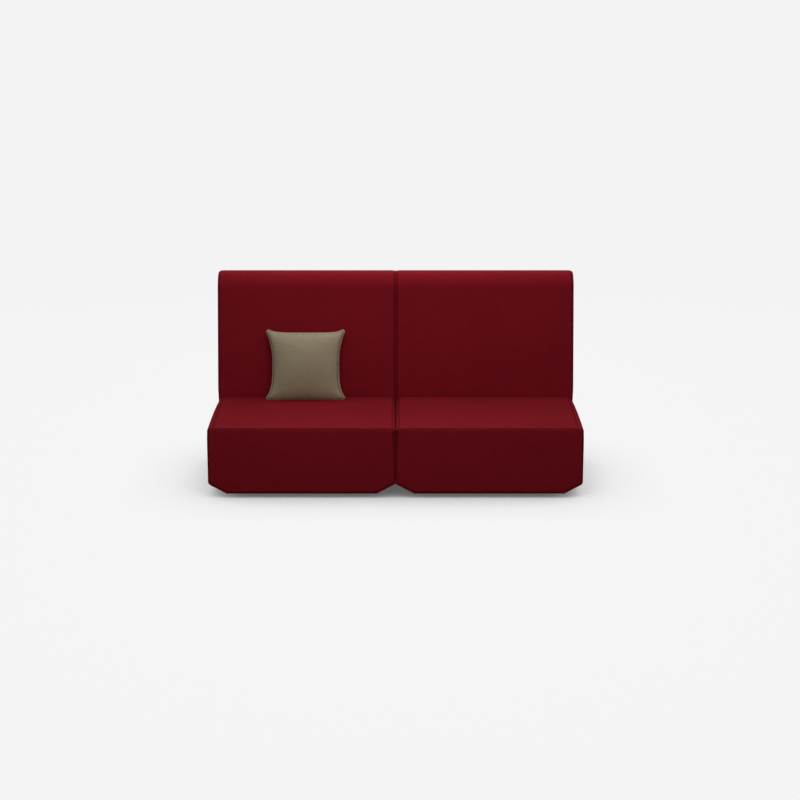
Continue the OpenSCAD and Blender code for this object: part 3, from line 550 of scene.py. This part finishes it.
def filling(node, finish, body):
    """A soft block with the form of a CAD node, drawn in to leave room for the seams."""
    bm = bmesh.new()
    bm.from_mesh(frame["nodes"][node].data)
    bmesh.ops.remove_doubles(bm, verts=bm.verts, dist=1e-5)
    bmesh.ops.recalc_face_normals(bm, faces=bm.faces)
    bm.normal_update()
    inwards = [v.normal * (room * min(v.calc_shell_factor(), 1.6)) for v in bm.verts]
    for v, move in zip(bm.verts, inwards):
        v.co -= move
    block = piece_of(node + "_block", bm, smooth=False)
    block.data.materials.append(finish)
    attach(block, body)
    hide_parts(node)


for hand in ("left", "right"):
    filling(hand + "_seat_foam", foam, "base")
    filling(hand + "_back_foam", foam, hand + "_back")
    filling(hand + "_wrap_padding", wadding, "base")
    filling(hand + "_back_rear_padding", wadding, hand + "_back")


# Dust cloths: black spunbond cloth under each base. It hangs a little between its edges, is drawn into small
# scallops, and is held by steel staples over the hem of the seat's cover.

black_cloth, shader, places = start_material("black_cloth")
dots = places.cells(420.0, 0.15)
threads = places.noise(1, 3, 0.6, (1500, 160, 500))
colour = places.between(threads, (0.010, 0.010, 0.011, 1), (0.034, 0.034, 0.036, 1))
dress(shader, colour, 0.75 + threads * 0.2, threads * 0.6 + dots, 0.0002)

zinc, shader, places = start_material("zinc")
spangle = places.cells(160.0, out=1)
grey = spangle.node("ShaderNodeSeparateColor", {}, {0: spangle})
scratches = places.noise(1, 3, 0.7, (60, 1400, 900))
colour = places.between(grey * 0.6 + scratches * 0.4, (0.40, 0.41, 0.43, 1), (0.66, 0.67, 0.69, 1))
dress(shader, colour, 0.26 + scratches * 0.25 + grey * 0.1, scratches, 0.00004)
shader.inputs["Metallic"].default_value = 1.0

repeat = bpy.data.node_groups.new("repeat_along", "GeometryNodeTree")
for name, kind in (("Path", "Geometry"), ("Item", "Object"), ("Spacing", "Float"), ("Wobble", "Float"),
                   ("Finish", "Material")):
    repeat.interface.new_socket(name, in_out="INPUT", socket_type="NodeSocket" + kind)
repeat.interface.new_socket("Items", in_out="OUTPUT", socket_type="NodeSocketGeometry")
given = repeat.nodes.new("NodeGroupInput")
path_in, item_in, spacing_in, wobble_in, finish_in = (Wire(repeat, given.outputs[k]) for k in range(5))
line = path_in.node("GeometryNodeMeshToCurve", {}, {0: path_in})
spaced = line.node("GeometryNodeResampleCurve", {"mode": "LENGTH"}, {"Curve": line, "Length": spacing_in})
ahead = line.node("GeometryNodeInputTangent")
turned = ahead.node("FunctionNodeAlignRotationToVector", {"axis": "X", "pivot_axis": "AUTO"},
                    {"Vector": ahead})
least = wobble_in.node("ShaderNodeCombineXYZ", {}, {"Z": wobble_in * -1.0})
most = wobble_in.node("ShaderNodeCombineXYZ", {}, {"Z": wobble_in})
askew = least.node("FunctionNodeRandomValue", {"data_type": "FLOAT_VECTOR"}, {0: least, 1: most, "Seed": 7})
turned = turned.node("FunctionNodeRotateRotation", {}, {"Rotation": turned, "Rotate By": askew})
item = item_in.node("GeometryNodeObjectInfo", {}, {0: item_in}, out=4)
placed = spaced.node("GeometryNodeInstanceOnPoints", {},
                     {"Points": spaced, "Instance": item, "Rotation": turned})
solid = placed.node("GeometryNodeRealizeInstances", {}, {0: placed})
painted = solid.node("GeometryNodeSetMaterial", {}, {"Geometry": solid, "Material": finish_in})
repeat.links.new(painted.socket, repeat.nodes.new("NodeGroupOutput").inputs[0])


def along(name, points, closed, item, spacing, wobble, finish):
    """A piece made of one item set again and again along a line of points."""
    n = len(points)
    mesh = bpy.data.meshes.new(name)
    edges = [(k, (k + 1) % n) for k in range(n if closed else n - 1)]
    mesh.from_pydata([tuple(p) for p in points], edges, [])
    maker = bpy.data.objects.new(name, mesh)
    bpy.context.scene.collection.objects.link(maker)
    nodes = maker.modifiers.new("repeat", "NODES")
    nodes.node_group = repeat
    values = {"Item": item, "Spacing": spacing, "Wobble": wobble, "Finish": finish}
    for socket in repeat.interface.items_tree:
        if socket.in_out == "INPUT" and socket.name in values:
            nodes[socket.identifier] = values[socket.name]
    bpy.context.view_layer.update()
    made = bpy.data.meshes.new_from_object(maker.evaluated_get(bpy.context.evaluated_depsgraph_get()))
    maker.modifiers.remove(nodes)
    maker.data = made
    return maker


def bar(bm, low, high, cut=0.0):
    """A box from low to high with its edges cut off."""
    made = bmesh.ops.create_cube(bm, size=1.0)["verts"]
    for v in made:
        v.co = [low[k] + (v.co[k] + 0.5) * (high[k] - low[k]) for k in range(3)]
    if cut:
        edges = list({e for v in made for e in v.link_edges})
        bmesh.ops.bevel(bm, geom=edges, offset=cut, segments=1, affect="EDGES")


def hidden(bm, name):
    """An object that only serves as the item of a row, and isn't shown itself."""
    thing = piece_of(name, bm, smooth=False)
    bpy.context.scene.collection.objects.unlink(thing)
    return thing


crown_x, wire_y, leg_x, leg_z = 0.0050, 0.00045, 0.0044, 0.0012
bm = bmesh.new()
bar(bm, (-crown_x, -wire_y, -0.0005), (crown_x, wire_y, 0.0), 0.0001)
bar(bm, (-crown_x, -wire_y, 0.0), (-leg_x, wire_y, leg_z))
bar(bm, (leg_x, -wire_y, 0.0), (crown_x, wire_y, leg_z))
staple = hidden(bm, "staple")
staple_step, staple_in = 0.036, 0.006
cloth_t, cloth_hang, cloth_scallop = 0.0004, 0.0022, 0.0004

for hand in ("left", "right"):
    low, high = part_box(hand + "_dust_cloth")
    x, y = np.meshgrid(np.linspace(low.x, high.x, 99), np.linspace(low.y, high.y, 91))
    in_x = np.minimum(x - low.x, high.x - x)
    in_y = np.minimum(y - low.y, high.y - y)
    bow = np.sin(np.pi * (x - low.x) / (high.x - low.x)) * np.sin(np.pi * (y - low.y) / (high.y - low.y))
    run = np.where(in_x < in_y, y - low.y, x - low.x)
    scallop = (1 - np.cos(2 * np.pi * run / staple_step)) * np.exp(-np.minimum(in_x, in_y) / 0.012)
    z = high.z - cloth_t - cloth_hang * bow - cloth_scallop * scallop
    bm = bmesh.new()
    grid_faces(bm, np.stack([x, y, z], 2), False)
    dust_cloth = piece_of(hand + "_dust_cloth_sheet", bm)
    thick = dust_cloth.modifiers.new("thick", "SOLIDIFY")
    thick.thickness, thick.offset = cloth_t, -1
    dust_cloth.data.materials.append(black_cloth)
    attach(dust_cloth, "base")
    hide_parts(hand + "_dust_cloth")
    left, right, front, rear = low.x + staple_in, high.x - staple_in, low.y + staple_in, high.y - staple_in
    corners = [(*c, high.z - 0.0010) for c in ((left, front), (right, front), (right, rear), (left, rear))]
    staples = along(hand + "_dust_cloth_staples", corners, True, staple, staple_step, 0.12, zinc)
    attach(staples, "base")


# Scatter cushion: a greige felt cover of two panels round a loose polyester fill, leaning on the back. A
# cloth simulation lets the fill press the panels out between their seams. A plastic zip closes its foot.
# The sides are drawn in halfway up, and the top edge lies low and dips towards its middle.

pillow_low, pillow_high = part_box("cushion_cover")
pillow_x = (pillow_low.x + pillow_high.x) / 2
pillow_half_w, pillow_half_h = (pillow_high.x - pillow_low.x) / 2 * 1.056, 0.177
pillow_out, pillow_up = -0.0623, 0.1623
pillow_draw, pillow_top, pillow_dip = 0.036, 0.006, 0.021
front_bulge, rear_bulge = 0.072, 0.060
settle_most, frames = 0.010, 20
rim_rows = np.array([0, 1.5, 3.0, 4.5, 5.8, 7.0, 8.0, 9.2, 11, 14, 18, 22.5]) / 1000
pillow_seam, pillow_seam_w = 0.0092, 0.0024


def sides_of(a):
    """Shares from -1 to 1 across a panel of the half width a, close together at both seams."""
    flat = a - rim_rows[-1]
    inner = np.linspace(-flat, flat, max(2, round(flat * 2 / 0.005)))
    return np.concatenate([-(a - rim_rows), inner[1:-1], (a - rim_rows)[::-1]]) / a


def pillow_panel(bulge):
    """The grid of one panel in the leaning frame, with its shares s across and t up. Its corners are blunt."""
    s, t = np.meshgrid(sides_of(pillow_half_w), sides_of(pillow_half_h))
    blunt = 1 - 0.060 * np.abs(s * t) ** 7
    wide, high = np.minimum(np.abs(s) / 0.93, 1), np.minimum(np.abs(t) / 0.94, 1)
    x = s * (pillow_half_w - pillow_draw * (1 - high ** np.where(t < 0, 4.0, 2.5))) * blunt
    up = t * (pillow_half_h - np.where(t > 0, pillow_top + pillow_dip * (1 - wide**6), 0)) * blunt
    full = (1 - s * s) ** 0.42 * (1 - t * t) ** np.where(t < 0, 0.62, 0.45)
    forward = (0.010 + 0.015 * np.abs(s) ** 6) * np.clip(-t, 0, 1) ** 1.5 * (1 - 0.9 * full)
    return np.stack([x, bulge * full - forward, up], 2), s, t


def stand(points, gap):
    """Puts points of the cushion into the row frame, kept clear of the back's face and of the seat's top."""
    x, out, up = points[:, 0] + pillow_x, points[:, 1] + pillow_out, points[:, 2] + pillow_up
    aside = np.abs(x + module_x)
    crown = back_crown * (1 - (aside / half_w) ** 2) * np.sin(np.pi * np.clip(up / top_up, 0, 1)) ** 2
    places = leaning(x, np.minimum(out, back_gap - crown - 0.0012 - gap), up)
    t = np.clip(places[:, 1] / seat_depth, 0.001, 0.999)
    places[:, 2] = np.maximum(places[:, 2], seat_top(aside, t, 0.0, 0.0, outer_seam, top_puff) + gap)
    places[:, 1] += front_y
    return places


bm = bmesh.new()
marks = bm.verts.layers.float_vector.new("share")
for panel, bulge in enumerate((-front_bulge, rear_bulge)):
    points, s, t = pillow_panel(bulge)
    first = len(bm.verts)
    grid_faces(bm, points, panel == 0)
    bm.verts.ensure_lookup_table()
    for v, a, b in zip(bm.verts[first:], s.ravel(), t.ravel()):
        v[marks] = (a, b, panel)
bmesh.ops.remove_doubles(bm, verts=bm.verts, dist=1e-6)
pillow = bpy.data.meshes.new("pillow")
bm.to_mesh(pillow)
bm.free()

shares = np.array([tuple(v.vector) for v in pillow.attributes["share"].data])
across, upwards = np.abs(shares[:, 0]), np.abs(shares[:, 1])
before = np.array([v.co for v in pillow.vertices])
settled = before.copy()
test = bpy.data.objects.new("test", pillow.copy())
bpy.context.scene.collection.objects.link(test)
pins = test.vertex_groups.new(name="seam")
for k in np.nonzero(1 - np.maximum(across, upwards) < 1e-4)[0]:
    pins.add([int(k)], 1.0, "REPLACE")
fabric = test.modifiers.new("fabric", "CLOTH")
cloth = fabric.settings
cloth.quality, cloth.mass = 6, 0.25
cloth.tension_stiffness = cloth.compression_stiffness = 12
cloth.shear_stiffness, cloth.bending_stiffness = 6, 2.0
cloth.use_pressure, cloth.uniform_pressure_force = True, 4.0
cloth.shrink_min = -0.002
cloth.vertex_group_mass, cloth.pin_stiffness = "seam", 1.0
cloth.effector_weights.gravity = 0
fabric.point_cache.frame_start, fabric.point_cache.frame_end = 1, frames
for number in range(1, frames + 1):
    bpy.context.scene.frame_set(number)
after = test.evaluated_get(bpy.context.evaluated_depsgraph_get()).to_mesh()
move = np.array([v.co for v in after.vertices]) - before
size = np.linalg.norm(move, axis=1, keepdims=True)
settled = before + move * np.minimum(1, settle_most / np.maximum(size, 1e-9))
test.to_mesh_clear()
bpy.data.objects.remove(test)
bpy.context.scene.frame_set(1)

# The seam runs inside the front panel's rim. It is pulled in most at the pinches in each side, halfway up and
# below
from_rim = np.minimum((1 - across) * pillow_half_w, (1 - upwards) * pillow_half_h)
beside = across * pillow_half_w > upwards * pillow_half_h
pinch = sum(high * np.exp(-(((shares[:, 1] - at) / reach) ** 2)) for at, reach, high in
            ((-0.2, 0.28, 0.6), (0.0, 0.07, 0.8), (-0.4, 0.06, 0.7))) * (across > 0.8)
deep = 0.0008 + 0.0010 * beside + 0.0048 * pinch
pull = groove(from_rim - pillow_seam, deep, pillow_seam_w) * (shares[:, 2] < 0.5)
settled[:, 1] += pull * 1.2
settled[:, 0] -= np.sign(settled[:, 0]) * pull * 0.4 * beside


def soft_piece(name, places, finish):
    """A piece with the cushion's mesh, its points moved to the places given."""
    bm = bmesh.new()
    bm.from_mesh(pillow)
    for v, place in zip(bm.verts, places):
        v.co = place
    bm.normal_update()
    piece = piece_of(name, bm)
    piece.data.materials.append(finish)
    return piece


greige_felt = felt("greige_felt", (0.250, 0.208, 0.137, 1), (0.402, 0.337, 0.225, 1), (1.0, 0.9, 0.75, 1), 0.8)
cushion = soft_piece("cushion_skin", stand(settled, 0.0003), greige_felt)
finer = cushion.modifiers.new("finer", "SUBSURF")
finer.levels = finer.render_levels = 1
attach(cushion, "cushion")
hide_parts("cushion_cover")

stuffing = soft_piece("cushion_stuffing", stand(settled * (0.93, 0.84, 0.95), 0.004), wadding)
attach(stuffing, "cushion")
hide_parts("cushion_fill")

zip_low, zip_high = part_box("cushion_zip")
zip_x = np.linspace(zip_low.x, zip_high.x, 61) - pillow_x
zip_line = stand(np.stack([zip_x, np.full(61, 0.004), np.full(61, -pillow_half_h)], 1), -0.0004)
bm = bmesh.new()
for sign in (-1, 1):
    bar(bm, (-0.0007, sign * 0.0002, -0.0004), (0.0007, sign * 0.0021, 0.0005), 0.00012)
tooth = hidden(bm, "zip_tooth")
black_plastic, shader, places = start_material("black_plastic")
grain = places.noise(1800, 2, 0.5)
colour = places.between(places.noise(12, 3, 0.6), (0.014, 0.014, 0.015, 1), (0.030, 0.030, 0.032, 1))
dress(shader, colour, 0.42 + grain * 0.2, grain, 0.00005)
teeth = along("cushion_zip_teeth", zip_line, False, tooth, 0.0021, 0.03, black_plastic)
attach(teeth, "cushion")
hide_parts("cushion_zip")


# Frames and fittings: birch plywood frames, woven webbing, moulded glides and zinc-plated steel. Their CAD
# shapes are right, so the CAD nodes stay and take these finishes.

birch, shader, places = start_material("birch")
rings = places.noise(1, 3, 0.6, (3, 60, 45))
pores = places.noise(1, 2, 0.5, (90, 2600, 1800))
layers = (places.axis("Y") * 4500.0).math("SINE")
share = rings * 0.8 + pores * 0.3 + layers * 0.05 - 0.1
colour = places.between(share, (0.46, 0.30, 0.15, 1), (0.80, 0.63, 0.42, 1))
dress(shader, colour, 0.42 + pores * 0.25, pores + rings * 0.5, 0.0002)

webbing, shader, places = start_material("webbing")
weave = (places.axis("X") * 2600.0).math("SINE") * (places.axis("Y") * 2600.0).math("SINE")
colour = places.between(weave * 0.5 + 0.5, (0.012, 0.012, 0.013, 1), (0.050, 0.048, 0.047, 1))
dress(shader, colour, 0.7 + weave * 0.1, weave, 0.0003)

finishes = {"birch": birch, "webbing": webbing, "black_plastic": black_plastic, "zinc": zinc, "foam": foam,
            "wadding": wadding, "black_cloth": black_cloth, "wine_felt": wine_felt, "greige_felt": greige_felt}
for part in frame["record"]["subparts"]:
    for place in frame["nodes"][part["node"]].material_slots:
        place.material = finishes[part["material_slot"]]


# Camera: it stands 10 m in front at the photograph's viewing angle, square to the front, and looks down by
# 13 degrees.

camera_data = bpy.data.cameras.new("camera")
camera_data.sensor_width, camera_data.lens, camera_data.clip_end = 36, 98.51, 400
camera = bpy.data.objects.new("camera", camera_data)
camera.location = (0.0206, -10.0387, 2.6716)
camera.rotation_euler = (math.radians(90 - 13), 0, 0)
bpy.context.scene.collection.objects.link(camera)
bpy.context.scene.camera = camera
bpy.context.scene.view_settings.view_transform = "Standard"


# Floor: a pale studio floor that the camera sees as an even glow, with a painted shadow that darkens it where
# the sofa stands close above it.
# For all other rays it is a dull grey, so that it throws little light on the covers.

floor_mesh = bpy.data.meshes.new("floor")
floor_mesh.from_pydata([(-150, -150, 0), (150, -150, 0), (150, 150, 0), (-150, 150, 0)], [], [(0, 1, 2, 3)])
floor = bpy.data.objects.new("floor", floor_mesh)
bpy.context.scene.collection.objects.link(floor)
floor_paint, shader, places = start_material("floor_paint")
shader.inputs["Base Color"].default_value = (0.88, 0.88, 0.88, 1)
shader.inputs["Roughness"].default_value = 0.9
shader.inputs["Specular IOR Level"].default_value = 0.0
# Painted shadow: the camera sees a glow whose brightness falls with the ambient occlusion under and beside the
# sofa, with a little real lamplight mixed in
open_sky = places.node("ShaderNodeAmbientOcclusion", {"samples": 4}, {"Distance": 0.42}, out=1)
stops = [(at, (grey, grey, grey, 1)) for at, grey in (
    (0.0, 0.10), (0.2, 0.26), (0.4, 0.43), (0.5, 0.63), (0.6, 0.76), (0.75, 0.85), (1.0, 0.925))]
painted_shadow = open_sky.node("ShaderNodeValToRGB", {"stops": stops}, {0: open_sky})
painted_shadow_glow = places.node("ShaderNodeEmission", {}, {"Color": painted_shadow, "Strength": 1.0})
painted_shadow_and_lamplight = places.node("ShaderNodeMixShader", {}, {0: 0.96, 1: Wire(places.tree, shader.outputs[0]), 2: painted_shadow_glow})
dim = places.node("ShaderNodeBsdfDiffuse", {}, {"Color": (0.22, 0.22, 0.22, 1)})
straight, mirrored, through = (places.node("ShaderNodeLightPath", {}, {}, out=name) for name in
                               ("Is Camera Ray", "Is Glossy Ray", "Is Transmission Ray"))
seen = straight.math("MAXIMUM", mirrored).math("MAXIMUM", through)
surface = places.node("ShaderNodeMixShader", {}, {0: seen, 1: dim, 2: painted_shadow_and_lamplight})
places.tree.links.new(surface.socket, places.tree.nodes["Material Output"].inputs["Surface"])
floor.data.materials.append(floor_paint)


# Soft light: a dim sky that is strongest overhead and at both sides, and large lamps in front, behind and
# close above. No ray from the camera sees a lamp.

world = bpy.data.worlds.new("studio")
bpy.context.scene.world = world
world.use_nodes = True
sky = Wire(world.node_tree, world.node_tree.nodes.new("ShaderNodeTexCoord").outputs["Generated"])
overhead = sky.axis("Z").math("MAXIMUM", 0.0).math("POWER", 2.0)
strength = overhead * 0.285 + sky.axis("X") * sky.axis("X") * 0.35
background = world.node_tree.nodes["Background"]
background.inputs["Color"].default_value = (1, 1, 1, 1)
world.node_tree.links.new(strength.socket, background.inputs["Strength"])

for name, place, aim, wide, deep, power in (
    ("front_lamp", (0, -3.5, 3.2), (0, 0, 0.4), 3.0, 2.0, 54.0),
    ("rear_lamp", (0, 3.0, 3.0), (0, 0, 0.6), 3.0, 2.0, 55.0),
    ("top_lamp", (0, 0.4, 2.0), (0, 0.2, 0), 2.0, 1.0, 10.7),
    ("near_lamp", (0, -1.5, 2.2), (0, 0.3, 0.6), 2.2, 1.0, 9.6),
):
    light = bpy.data.lights.new(name, "AREA")
    light.shape, light.size, light.size_y, light.energy = "RECTANGLE", wide, deep, power
    lamp = bpy.data.objects.new(name, light)
    lamp.location = place
    lamp.rotation_euler = (Vector(aim) - Vector(place)).to_track_quat("-Z", "Y").to_euler()
    lamp.visible_camera = False
    bpy.context.scene.collection.objects.link(lamp)
